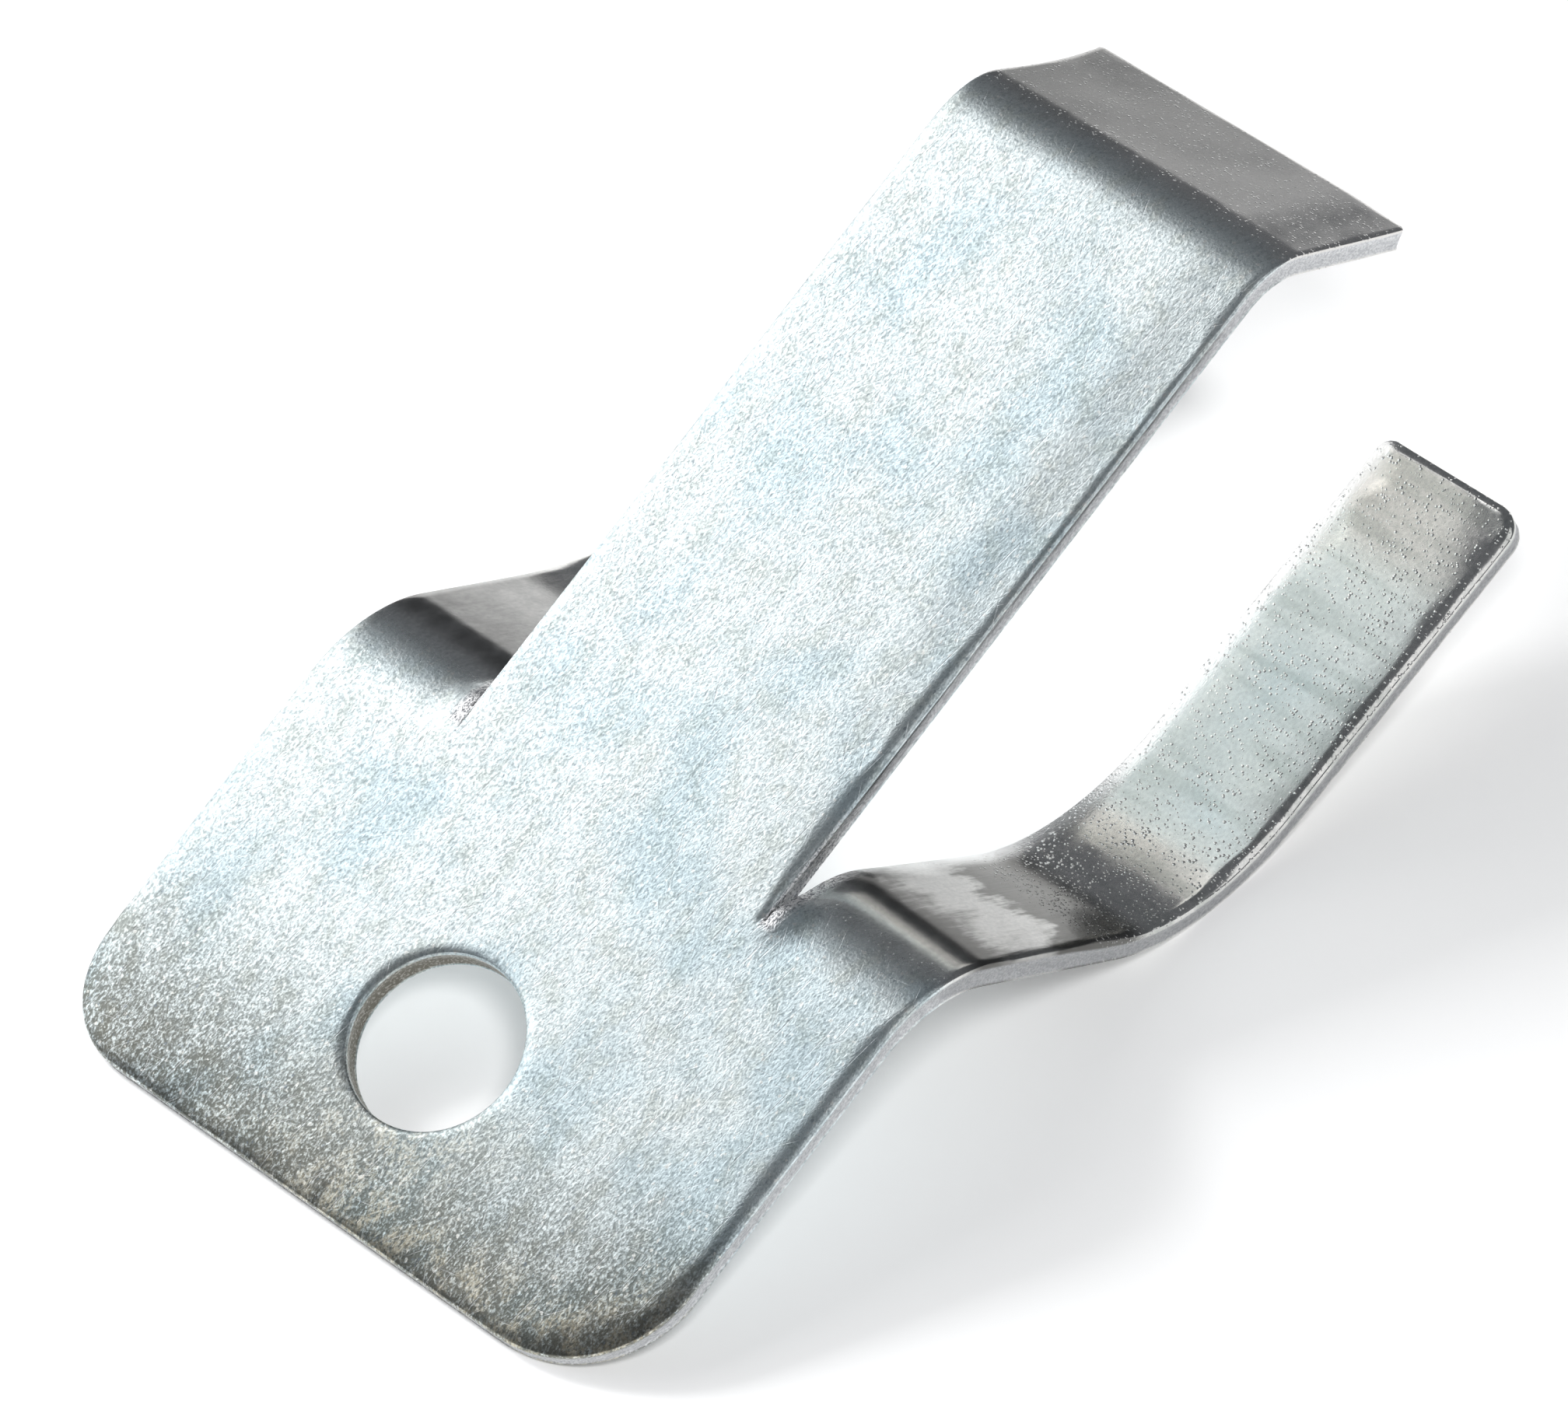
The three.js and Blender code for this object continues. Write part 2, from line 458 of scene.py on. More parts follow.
def hash_noise(u, v, seed, size=64):
    """Smooth random values from -1 to 1, about one bump per unit."""
    knots = np.random.default_rng(seed).uniform(-1, 1, (size, size))
    iu, iv = np.floor(u).astype(int), np.floor(v).astype(int)
    fu, fv = u - iu, v - iv
    fu, fv = fu * fu * (3 - 2 * fu), fv * fv * (3 - 2 * fv)
    near_u, far_u = iu % size, (iu + 1) % size
    near_v, far_v = iv % size, (iv + 1) % size
    low = knots[near_u, near_v] * (1 - fu) + knots[far_u, near_v] * fu
    high = knots[near_u, far_v] * (1 - fu) + knots[far_u, far_v] * fu
    return low * (1 - fv) + high * fv


def smoothstep(x, low, high):
    t = np.clip((x - low) / (high - low), 0, 1)
    return t * t * (3 - 2 * t)


def roll_drop(distance, nearest):
    """How far the upper face has sunk beside a cut edge."""
    width, depth, corner = loop_rolls[nearest].T
    uneven = hash_noise(loop_along[nearest] / ROLL_UNEVEN_LENGTH, np.zeros(len(nearest)), seed=31)
    width = width * (1 + ROLL_UNEVENNESS * uneven)
    rolled = depth * np.clip(1 - distance / width, 0, 1) ** ROLL_POWER
    rounded = corner - np.sqrt(np.clip(corner**2 - np.clip(corner - distance, 0, None) ** 2, 0, None))
    return rolled + rounded


# Two sizes of wave: their lengths along and across the tongue
WAVE_LENGTHS = (6.0, 4.0)
RIPPLE_LENGTHS = (2.6, 2.1)
WAVE_DEPTH = 0.012
DEEPEST_WAVE = 1.5

# The punch has pulled the right side of the tongue down a little
SAG_START = 4.6
SAG_LENGTHS = (20, 34)
SAG_DEPTH = 0.09


def surface_drop(s, y):
    """Slow waves left in the sheet by the rolling mill and the press."""
    slow = hash_noise(s / WAVE_LENGTHS[0], y / WAVE_LENGTHS[1], seed=11)
    slow += 0.5 * hash_noise(s / RIPPLE_LENGTHS[0], y / RIPPLE_LENGTHS[1], seed=12)
    on_tongue = np.abs(y) < TONGUE_HALF_WIDTH + SLIT_GAP / 4
    sagged = smoothstep(-y, SAG_START, TONGUE_HALF_WIDTH) * smoothstep(s, *SAG_LENGTHS) * on_tongue
    return WAVE_DEPTH * (slow + DEEPEST_WAVE) + SAG_DEPTH * sagged


# Beside the slit's root the sheet is dragged down from flat to the leg's own bend
DRAG_WIDTH = 1.6
DRAG_LENGTH = 2.2


def bent(s, y, depth):
    """Where places of the blank lie once tongue and legs are bent: x, y, z."""
    across = np.abs(y)
    x, z, heading = follow(tongue_strip(), s)
    for side in (LEFT, RIGHT):
        leg = (y * side["sign"] > TONGUE_HALF_WIDTH + SLIT_GAP / 4) & (s > LEG_BEND_START)
        outward = np.clip((across - TONGUE_HALF_WIDTH) / (side["half_width"] - TONGUE_HALF_WIDTH), 0, 1)
        inner = follow(leg_strip(side["inner_bends"]), s)
        outer = follow(leg_strip(side["outer_bends"]), s)
        apart = smoothstep(across, TONGUE_HALF_WIDTH, TONGUE_HALF_WIDTH + DRAG_WIDTH)
        freed = smoothstep(s, side["slit_root"], side["slit_root"] + DRAG_LENGTH)
        dragged = 1 - (1 - apart) * (1 - freed)
        flat = follow([(RUNS_ON, 0)], s)
        bends = [i + (o - i) * outward for i, o in zip(inner, outer)]
        x, z, heading = (
            np.where(leg, f + (b - f) * dragged, here)
            for f, b, here in zip(flat, bends, (x, z, heading))
        )
    return x + depth * np.sin(heading), y, z - depth * np.cos(heading)


# A cut wall is a smooth land above and a torn fracture, a little further in, below
WALL_ROWS = 8
LAND_DEPTH = 0.42
LAND_BLEND = 0.12
FRACTURE_RECESS = 0.035
FRACTURE_ROUGHNESS = 0.02
FRACTURE_GRAIN = (0.22, 0.2)
FRACTURE_TEARS = (0.6, 0.5)

# The punch has pushed a burr out below the hole
BURR_HEIGHT = 0.2
BURR_WIDTH = 0.44


def burr(distance, nearest):
    """How far the lower face stands out beside the hole."""
    beside_hole = nearest >= loop_starts[1]
    return beside_hole * BURR_HEIGHT * np.clip(1 - distance / BURR_WIDTH, 0, 1)


def wall_points(start_depth, end_depth):
    """Rows of points down the cut walls, between the loops of the upper and the lower face."""
    for row in range(1, WALL_ROWS):
        share = row / WALL_ROWS
        depth = start_depth + (end_depth - start_depth) * share
        torn = smoothstep(depth, LAND_DEPTH, LAND_DEPTH + LAND_BLEND)
        rough = hash_noise(loop_along / FRACTURE_GRAIN[0], depth / FRACTURE_GRAIN[1], seed=21)
        rough += 0.6 * hash_noise(loop_along / FRACTURE_TEARS[0], depth / FRACTURE_TEARS[1], seed=22)
        recess = torn * (FRACTURE_RECESS + FRACTURE_ROUGHNESS * (rough + 0.2))
        places = loop_points + loop_inward * np.clip(recess, 0, None)[:, None]
        yield np.column_stack([places, depth])


def wall_faces(rows):
    faces = []
    for upper, lower in zip(rows, rows[1:]):
        for start, end in zip(loop_starts, loop_starts[1:]):
            for i in range(start, end):
                j = start + (i + 1 - start) % (end - start)
                faces.append((int(upper[i]), int(lower[i]), int(lower[j]), int(upper[j])))
    return faces


def build_clip():
    """The clip's skin on the flat blank: its points and faces, how far each point lies from a
    cut edge, and whether it is on a cut wall."""
    top, top_triangles, top_loop = triangulate(top_rows(), grid_points(1.0))
    low, low_triangles, low_loop = triangulate(bottom_rows(), grid_points(LOWER_FACE_COARSENESS))
    top_distance, top_nearest = edge_distances(top)
    low_distance, low_nearest = edge_distances(low)
    top_depth = roll_drop(top_distance, top_nearest) + surface_drop(*top.T)
    low_depth = THICKNESS + burr(low_distance, low_nearest)
    blank = [np.column_stack([top, top_depth]), np.column_stack([low, low_depth])]
    edge = [top_distance, low_distance]
    wall = [np.zeros(len(top) + len(low))]
    rows = [top_loop]
    for places in wall_points(top_depth[top_loop], low_depth[low_loop]):
        first = sum(len(part) for part in blank)
        rows.append(np.arange(first, first + len(places)))
        blank.append(places)
        edge.append(np.zeros(len(places)))
        wall.append(np.ones(len(places)))
    rows.append(low_loop + len(top))
    faces = [tuple(triangle) for triangle in top_triangles]
    faces += [tuple(int(i) + len(top) for i in reversed(triangle)) for triangle in low_triangles]
    faces += wall_faces(rows)
    return np.concatenate(blank), faces, np.concatenate(edge), np.concatenate(wall)


mounts = {mount["name"]: mount for mount in frame["record"]["mounts"]}
seat_axis = mounts["screw_head_seat"]["axis"]


def to_row_frame(x, y, z):
    """From the bent blank's own axes to the pose in which the clip lies, in metres."""
    sine, cosine = -seat_axis[0], seat_axis[2]
    lowest = cad_box[0]
    return np.column_stack([
        (x * cosine - z * sine) * MM + lowest.x,
        (y + RIGHT["half_width"]) * MM + lowest.y,
        (x * sine + z * cosine + THICKNESS * cosine) * MM + lowest.z,
    ])


def float_attribute(mesh, name, values):
    layer = mesh.attributes.new(name, "FLOAT", "POINT")
    layer.data.foreach_set("value", values.astype(np.float32))


SHARP_DEGREES = 55


def clip_object():
    blank, faces, edge, wall = build_clip()
    places = to_row_frame(*bent(*blank.T))
    mesh = bpy.data.meshes.new("zinc_clip")
    mesh.from_pydata([tuple(place) for place in places], [], faces)
    mesh.update()
    layer = mesh.attributes.new("blank", "FLOAT_VECTOR", "POINT")
    layer.data.foreach_set("vector", blank.astype(np.float32).ravel())
    float_attribute(mesh, "edge", edge)
    float_attribute(mesh, "wall", wall)
    mesh.shade_smooth()
    mesh.set_sharp_from_angle(angle=math.radians(SHARP_DEGREES))
    clip = bpy.data.objects.new("zinc_clip", mesh)
    bpy.context.collection.objects.link(clip)
    return clip


clip = clip_object()
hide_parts("spring_clip")
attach(clip, "root")


# Material
# Colours are what the metal gives back of each colour of light; some also hold painted light and shade,
# as said where they are used
LIGHT_ZINC = (0.90, 0.98, 0.985, 1)
DULL_ZINC = (0.51, 0.58, 0.595, 1)
WORN_AND_SHADED_ZINC = (0.2, 0.204, 0.182, 1)
BLUE_TINT = (0.58, 0.745, 0.84, 1)
WARM_TINT = (1.0, 0.975, 0.925, 1)
SCRATCH_GREY = (0.95, 0.97, 0.98, 1)
PAINTED_GLINT_WHITE = (1.0, 1.0, 0.96, 1)
PIT_BLUE = (0.25, 0.3, 0.36, 1)
TARNISH = (0.58, 0.51, 0.36, 1)
POLISHED_LIGHT = (0.97, 0.96, 0.93, 1)
POLISHED_DULL = (0.8, 0.8, 0.78, 1)
BAND_TINT = (0.6, 0.64, 0.62, 1)
SLOPE_PAINTED_SHADE = (0.1, 0.1, 0.1, 1)
DARK_REFLECTION_BAND = (0.11, 0.108, 0.1, 1)
LIP_RIGHT_LIT_GREY = (0.86, 0.84, 0.815, 1)
LIP_LEFT_SHADED_GREY = (0.58, 0.57, 0.55, 1)
PIMPLE_HIGHLIGHT_WHITE = (1.0, 1.0, 0.98, 1)
BRIGHT_EDGE_HIGHLIGHT = (1.0, 1.0, 0.99, 1)
CUT_DARK = (0.5, 0.51, 0.53, 1)
CUT_LIGHT = (0.76, 0.77, 0.78, 1)
HOLE_DARK = (0.2, 0.187, 0.155, 1)
HOLE_LIGHT = (0.46, 0.44, 0.4, 1)
LEG_WALL_PAINTED_SHADE = (0.12, 0.12, 0.125, 1)
TORN_DARK = (0.34, 0.35, 0.37, 1)
TORN_GLINT_WHITE = (1.0, 1.0, 1.0, 1)

# Roughness of each finish, from its glossiest to its dullest
SATIN_ROUGHNESS = (0.28, 0.42)
POLISHED_ROUGHNESS = (0.13, 0.2)
PIMPLE_ROUGHNESS = 0.34
CUT_ROUGHNESS = (0.24, 0.42)

# Down a cut wall, the land gives way to the torn fracture between these depths
FRACTURE_DEPTHS = (0.38, 0.6)

# Where things are on the blank, in millimetres: along it, or across it, or as a distance from
# an edge, a corner or the hole's middle, where the name says so. Each pair says where there is
# none of the thing, and where there is all of it
LEG_SMOOTH_FROM = (18.8, 21.0)
LIP_SMOOTH_FROM = (48.5, 50.4)
BRIGHT_EDGE_FROM = (24.0, 30.0)
BRIGHT_EDGE_ACROSS = (TONGUE_HALF_WIDTH + 1.2, TONGUE_HALF_WIDTH + 0.2)
TORN_FROM = (17.5, 17.9)
TORN_UNTIL = (24.5, 20.0)
TORN_ACROSS_FROM = (TONGUE_HALF_WIDTH - 0.12, TONGUE_HALF_WIDTH)
TORN_ACROSS_UNTIL = (TONGUE_HALF_WIDTH + 0.8, TONGUE_HALF_WIDTH + 0.35)
BEND_PIMPLES_FROM = (25.0, 27.0)
BEND_PIMPLES_UNTIL = (36.0, 31.0)
LEVEL_PIMPLES_FROM = (33.0, 37.0)
NO_PIMPLES_FROM = (20.0, 21.5)
NO_PIMPLES_UNTIL = (30.0, 28.4)
SLOPE_PAINTED_SHADE_FROM = (20.0, 22.0)
SLOPE_PAINTED_SHADE_UNTIL = (31.0, 28.5)
UPPER_BAND_FROM = (21.2, 22.4)
UPPER_BAND_UNTIL = (25.4, 22.8)
LOWER_BAND_FROM = (27.0, 28.3)
LOWER_BAND_UNTIL = (33.2, 31.5)
LEFT_BAND_FROM = (20.0, 21.6)
LEFT_BAND_UNTIL = (28.0, 21.5)
LEVEL_BANDS_FROM = (30.0, 33.0)
DRAG_MARKS_FROM = (22.6, 24.0)
DRAG_MARKS_UNTIL = (34.0, 27.0)
WORN_AND_SHADED_UNTIL = (10.5, -0.5)
WORN_AND_SHADED_FROM_CORNER = (10.5, 3.0)
STAIN_UNTIL = (9.0, 1.0)
STAIN_ACROSS = (9.0, -3.0)
STAIN_FROM_EDGE = (4.0, 0.3)
STAIN_FROM_HOLE_MIDDLE = (HOLE_RADIUS + 0.4, HOLE_RADIUS + 0.2)

# How far the painted dark bands' borders are ragged, by fine streaks and by broader smears
STREAKED_BORDER = 2.8
SMEARED_BORDER = 4.6

# Pimples, one at most in a cell. Its radius, as a share of the cell, is a random value plus the
# crowding found there, less the threshold, times the spread. Below the smallest there is none
BEND_CROWDING = 0.28
CROWDING = 0.9
LEVEL_CROWDING = 0.12
PIMPLE_THRESHOLD = 0.42
PIMPLE_SPREAD = 0.46
NO_PIMPLE = 0.001
SMALLEST_PIMPLE = 0.01

# How much of each colour is laid over what is below it
BLUE_TINT_SHARE = 0.4
WARM_TINT_SHARE = 0.6
SCRATCH_SHARE = 0.5
PAINTED_GLINT_SHARE = 0.6
PIT_SHARE = 0.55
BAND_TINT_SHARE = 0.45
SLOPE_PAINTED_SHADE_SHARE = 0.48
DARK_REFLECTION_SHARE = 0.9
LIP_SHARE = 0.85
LEG_WALL_SHADE_SHARE = 0.35
TARNISH_SHARE = 0.65

# How much darker the grain is where it is worn and shaded, and how rare the painted glints are
WORN_AND_SHADED_DARKENING = 0.1
SPARKLE_THRESHOLD = 1.06

# Relief that is finer than the mesh, in millimetres
GRAIN_HEIGHT = 0.0125
FINE_HEIGHT = 0.006
SCRATCH_HEIGHT = -0.003
DRAG_MARK_HEIGHT = 0.012
PIMPLE_HEIGHT = 0.055
POLISHED_HEIGHT = 0.0009
FRACTURE_HEIGHT = 0.02
TORN_HEIGHT = 0.04
BRIGHT_EDGE_HEIGHT = 0.02

# The scratches' angles to the tongue in degrees, their lengths, rows' spacing and widths in
# millimetres, and the share of places that have one
SCRATCHES = [
    (8, 1.9, 0.5, 0.024, 0.3),
    (-24, 1.5, 0.7, 0.02, 0.22),
    (41, 1.2, 0.8, 0.02, 0.18),
    (78, 1.0, 1.1, 0.02, 0.14),
]

# Patterns, as bumps in a millimetre along the tongue, across it, and into the sheet
GRAIN_SCALE = (4.7, 6.4, 6.2)
FINE_SCALE = (8.0, 12.0, 12.0)
BLOTCH_SCALE = (0.75, 1.05, 1.0)
CLOUD_SCALE = (0.16, 0.2, 0.2)
STREAK_SCALE = (0.55, 4.6, 4.6)
SMEAR_SCALE = (0.45, 0.8, 0.8)
BAND_SCALE = (0.8, 0.09, 0.09)
PIT_SCALE = (4.2, 6.0, 5.0)
CRYSTAL_SCALE = (7.5, 9.5, 9.0)
PIMPLE_SCALE = (6.2, 6.2, 6.2)
CROWD_SCALE = (0.7, 0.9, 0.5)


class Graph:
    """Adds nodes to a tree and joins them. Apart from put, its methods give back output sockets."""

    def __init__(self, tree):
        self.tree = tree

    def put(self, socket, value):
        if isinstance(value, bpy.types.NodeSocket):
            self.tree.links.new(value, socket)
        else:
            socket.default_value = value

    def add(self, kind, values=(), output=0, **settings):
        node = self.tree.nodes.new(kind)
        for name, value in settings.items():
            setattr(node, name, value)
        for name, value in dict(values).items():
            self.put(node.inputs[name], value)
        return node.outputs[output]

    def attribute(self, name, output):
        return self.add("ShaderNodeAttribute", attribute_name=name, output=output)

    def parts(self, vector):
        node = self.tree.nodes.new("ShaderNodeSeparateXYZ")
        self.put(node.inputs[0], vector)
        return node.outputs

    def math(self, operation, *values):
        return self.add("ShaderNodeMath", enumerate(values), operation=operation)

    def vector(self, operation, *values, output=0):
        return self.add("ShaderNodeVectorMath", enumerate(values), operation=operation, output=output)

    def noise(self, place, scale, detail=2.0, roughness=0.5):
        scaled = self.vector("MULTIPLY", place, scale)
        values = {"Vector": scaled, "Scale": 1.0, "Detail": detail, "Roughness": roughness}
        return self.add("ShaderNodeTexNoise", values)

    def cells(self, place, scale, output):
        scaled = self.vector("MULTIPLY", place, scale)
        values = {"Vector": scaled, "Scale": 1.0}
        return self.add("ShaderNodeTexVoronoi", values, feature="F1", output=output)

    def between(self, value, low, high, to_low=0.0, to_high=1.0):
        """A smooth step from to_low, where value is low, to to_high, where it is high."""
        values = {"Value": value, "From Min": low, "From Max": high, "To Min": to_low, "To Max": to_high}
        return self.add("ShaderNodeMapRange", values, interpolation_type="SMOOTHSTEP")

    def stretch(self, value, start, end):
        """The stretch from start to end, each a pair that says where there is none and all of it."""
        return self.product(self.between(value, *start), self.between(value, *end))

    def mix(self, share, first, second, blend="MIX"):
        values = {"Factor": share, 6: first, 7: second}
        return self.add("ShaderNodeMix", values, output=2, data_type="RGBA", blend_type=blend)

    def blend(self, share, first, second):
        values = {"Factor": share, 2: first, 3: second}
        return self.add("ShaderNodeMix", values, data_type="FLOAT")

    def sum(self, *values):
        total = values[0]
        for value in values[1:]:
            total = self.math("ADD", total, value)
        return total

    def product(self, *values):
        total = values[0]
        for value in values[1:]:
            total = self.math("MULTIPLY", total, value)
        return total

    def opposite(self, share):
        return self.math("SUBTRACT", 1.0, share)

    def swing(self, pattern, height):
        """A pattern that swings about a half, made to swing about nought."""
        return self.product(self.math("SUBTRACT", pattern, 0.5), height)


def scratches(graph, place, turn, length, spacing, width, share):
    """Thin straight dashes that lie at an angle to the tongue, one at most in each cell."""
    turned = graph.add(
        "ShaderNodeVectorRotate", {"Vector": place, "Angle": math.radians(turn)}, rotation_type="Z_AXIS"
    )
    forwards, sideways, _ = graph.parts(turned)
    row = graph.math("FLOOR", graph.math("DIVIDE", sideways, spacing))
    shift = graph.add("ShaderNodeTexWhiteNoise", {"W": row}, noise_dimensions="1D")
    along = graph.math("ADD", graph.math("DIVIDE", forwards, length), shift)
    cell = graph.math("FLOOR", along)
    key = graph.add("ShaderNodeCombineXYZ", {0: cell, 1: row})
    chance = graph.add("ShaderNodeTexWhiteNoise", {"Vector": key}, noise_dimensions="2D")
    other_key = graph.vector("ADD", key, (0.5, 0.5, 0.0))
    offset = graph.add("ShaderNodeTexWhiteNoise", {"Vector": other_key}, noise_dimensions="2D")
    across = graph.math("FRACT", graph.math("DIVIDE", sideways, spacing))
    middle = graph.blend(offset, 0.2, 0.8)
    off_line = graph.math("ABSOLUTE", graph.math("SUBTRACT", across, middle))
    away = graph.math("MULTIPLY", off_line, spacing)
    line = graph.between(away, width, width * 0.2)
    reach = graph.math("FRACT", along)
    ends = graph.math("MULTIPLY", graph.math("MULTIPLY", reach, graph.opposite(reach)), 4.0)
    there = graph.math("LESS_THAN", chance, share)
    return graph.product(line, ends, there)


class Surface:
    """Where a point of the surface lay on the blank, with the masks and patterns found there."""

    def __init__(self, graph):
        self.blank = graph.attribute("blank", "Vector")
        self.edge = graph.attribute("edge", "Fac")
        self.wall = graph.attribute("wall", "Fac")
        self.s, self.y, self.depth = graph.parts(self.blank)
        self.across = graph.math("ABSOLUTE", self.y)
        self.on_right = graph.math("LESS_THAN", self.y, 0.0)
        self.grain = graph.noise(self.blank, GRAIN_SCALE, 3.0, 0.66)
        self.fine = graph.noise(self.blank, FINE_SCALE, 2.0, 0.6)
        self.blotch = graph.noise(self.blank, BLOTCH_SCALE, 3.0, 0.55)
        self.streak = graph.noise(self.blank, STREAK_SCALE, 3.0, 0.62)
        self.speckle = graph.sum(
            graph.product(self.grain, 0.5),
            graph.product(self.fine, 0.5),
            graph.product(self.blotch, 0.2),
        )
        dashes = [scratches(graph, self.blank, *sizes) for sizes in SCRATCHES]
        self.scratched = graph.math("MINIMUM", graph.sum(*dashes), 1.0)
        self.find_finishes(graph)
        self.find_pimples(graph)

    def find_finishes(self, graph):
        s, across = self.s, self.across
        # Punch and bending tool have smoothed the legs and the lip
        self.on_leg = graph.product(
            graph.between(across, TONGUE_HALF_WIDTH, TONGUE_HALF_WIDTH + SLIT_GAP),
            graph.between(s, *LEG_SMOOTH_FROM),
        )
        self.on_lip = graph.product(
            graph.between(across, TONGUE_HALF_WIDTH + SLIT_GAP, TONGUE_HALF_WIDTH),
            graph.between(s, *LIP_SMOOTH_FROM),
        )
        self.smooth = graph.math("MAXIMUM", self.on_leg, self.on_lip)
        # A painted highlight: a near-white band is painted along the legs' inner edges
        self.bright_inner_edge = graph.product(
            self.on_leg,
            graph.between(across, *BRIGHT_EDGE_ACROSS),
            graph.between(s, *BRIGHT_EDGE_FROM),
        )
        # The metal is torn, not cut, where the legs part from the tongue
        self.torn = graph.product(
            graph.between(across, *TORN_ACROSS_FROM),
            graph.between(across, *TORN_ACROSS_UNTIL),
            graph.between(s, *TORN_FROM),
            graph.between(s, *TORN_UNTIL),
        )

    def find_pimples(self, graph):
        """Zinc has frozen in small pimples on the lip and on the right leg's level end."""
        s = self.s
        at_bend = graph.stretch(s, BEND_PIMPLES_FROM, BEND_PIMPLES_UNTIL)
        crowd = graph.sum(
            graph.product(at_bend, BEND_CROWDING),
            graph.product(graph.noise(self.blank, CROWD_SCALE), CROWDING),
            graph.product(graph.between(s, *LEVEL_PIMPLES_FROM), self.on_leg, LEVEL_CROWDING),
        )
        chance = graph.cells(self.blank, PIMPLE_SCALE, "Color")
        excess = graph.math("SUBTRACT", graph.math("ADD", chance, crowd), PIMPLE_THRESHOLD)
        size = graph.product(excess, PIMPLE_SPREAD)
        on_slope = graph.stretch(s, NO_PIMPLES_FROM, NO_PIMPLES_UNTIL)
        on_left_leg = graph.product(self.on_leg, graph.opposite(self.on_right))
        bare = graph.math("MAXIMUM", on_slope, on_left_leg)
        size = graph.product(size, graph.opposite(bare))
        self.pimple_size = graph.math("MAXIMUM", size, NO_PIMPLE)
        from_middle = graph.cells(self.blank, PIMPLE_SCALE, "Distance")
        self.pimple = graph.between(from_middle, self.pimple_size, 0.0)


def satin_colour(graph, at):
    """Crystalline zinc on plate and tongue with painted glints, darker towards the back edge and right
    corner: partly dull worn zinc, partly painted shade.
    """
    right_corner = (0.0, -RIGHT["half_width"], 0.0)
    from_corner = graph.vector("DISTANCE", at.blank, right_corner, output="Value")
    at_back, at_corner = graph.between(at.s, *WORN_AND_SHADED_UNTIL), graph.between(from_corner, *WORN_AND_SHADED_FROM_CORNER)
    # Part wear, part painted shade: the back edge and right corner are darker, partly dull worn zinc,
    # partly painted shade for the dark surroundings they mirror
    worn_and_shaded = graph.math("MAXIMUM", at_back, at_corner)
    shade = graph.math("SUBTRACT", at.speckle, graph.product(worn_and_shaded, WORN_AND_SHADED_DARKENING))
    dull = graph.mix(worn_and_shaded, DULL_ZINC, WORN_AND_SHADED_ZINC)
    colour = graph.mix(graph.between(shade, 0.45, 0.7), dull, LIGHT_ZINC)
    cloud = graph.noise(at.blank, CLOUD_SCALE, 2.0, 0.5)
    blue = graph.between(cloud, 0.44, 0.66, 0.0, BLUE_TINT_SHARE)
    warm = graph.between(at.blotch, 0.5, 0.36, 0.0, WARM_TINT_SHARE)
    colour = graph.mix(blue, colour, BLUE_TINT, "MULTIPLY")
    colour = graph.mix(warm, colour, WARM_TINT, "MULTIPLY")
    colour = graph.mix(graph.product(at.scratched, SCRATCH_SHARE), colour, SCRATCH_GREY)
    # Painted glints: sparse crystals are painted near white, standing in for sparkles of light
    crystal = graph.cells(at.blank, CRYSTAL_SCALE, "Color")
    glint = graph.math("ADD", crystal, graph.product(at.grain, 0.35))
    sparkle = graph.math("GREATER_THAN", glint, SPARKLE_THRESHOLD)
    colour = graph.mix(graph.product(sparkle, PAINTED_GLINT_SHARE), colour, PAINTED_GLINT_WHITE)
    pit = graph.between(graph.noise(at.blank, PIT_SCALE, 1.0), 0.33, 0.25)
    return graph.mix(graph.product(pit, PIT_SHARE), colour, PIT_BLUE)


def dark_reflection_bands(graph, at):
    """Dark bands across the legs' slopes: painted reflections, with ragged edges where the tool slid."""
    s = at.s
    smear = graph.noise(at.blank, SMEAR_SCALE, 3.0, 0.6)
    streaked, smeared = graph.swing(at.streak, STREAKED_BORDER), graph.swing(smear, SMEARED_BORDER)
    ragged = graph.sum(s, graph.sum(streaked, smeared))
    upper_band = graph.product(
        graph.between(s, *UPPER_BAND_FROM), graph.between(ragged, *UPPER_BAND_UNTIL)
    )
    lower_band = graph.product(
        graph.between(ragged, *LOWER_BAND_FROM), graph.between(s, *LOWER_BAND_UNTIL)
    )
    left_band = graph.product(
        graph.between(s, *LEFT_BAND_FROM),
        graph.between(ragged, *LEFT_BAND_UNTIL),
        graph.between(smear, 0.35, 0.65, 0.4, 0.8),
    )
    return graph.blend(at.on_right, left_band, graph.math("MAXIMUM", upper_band, lower_band))


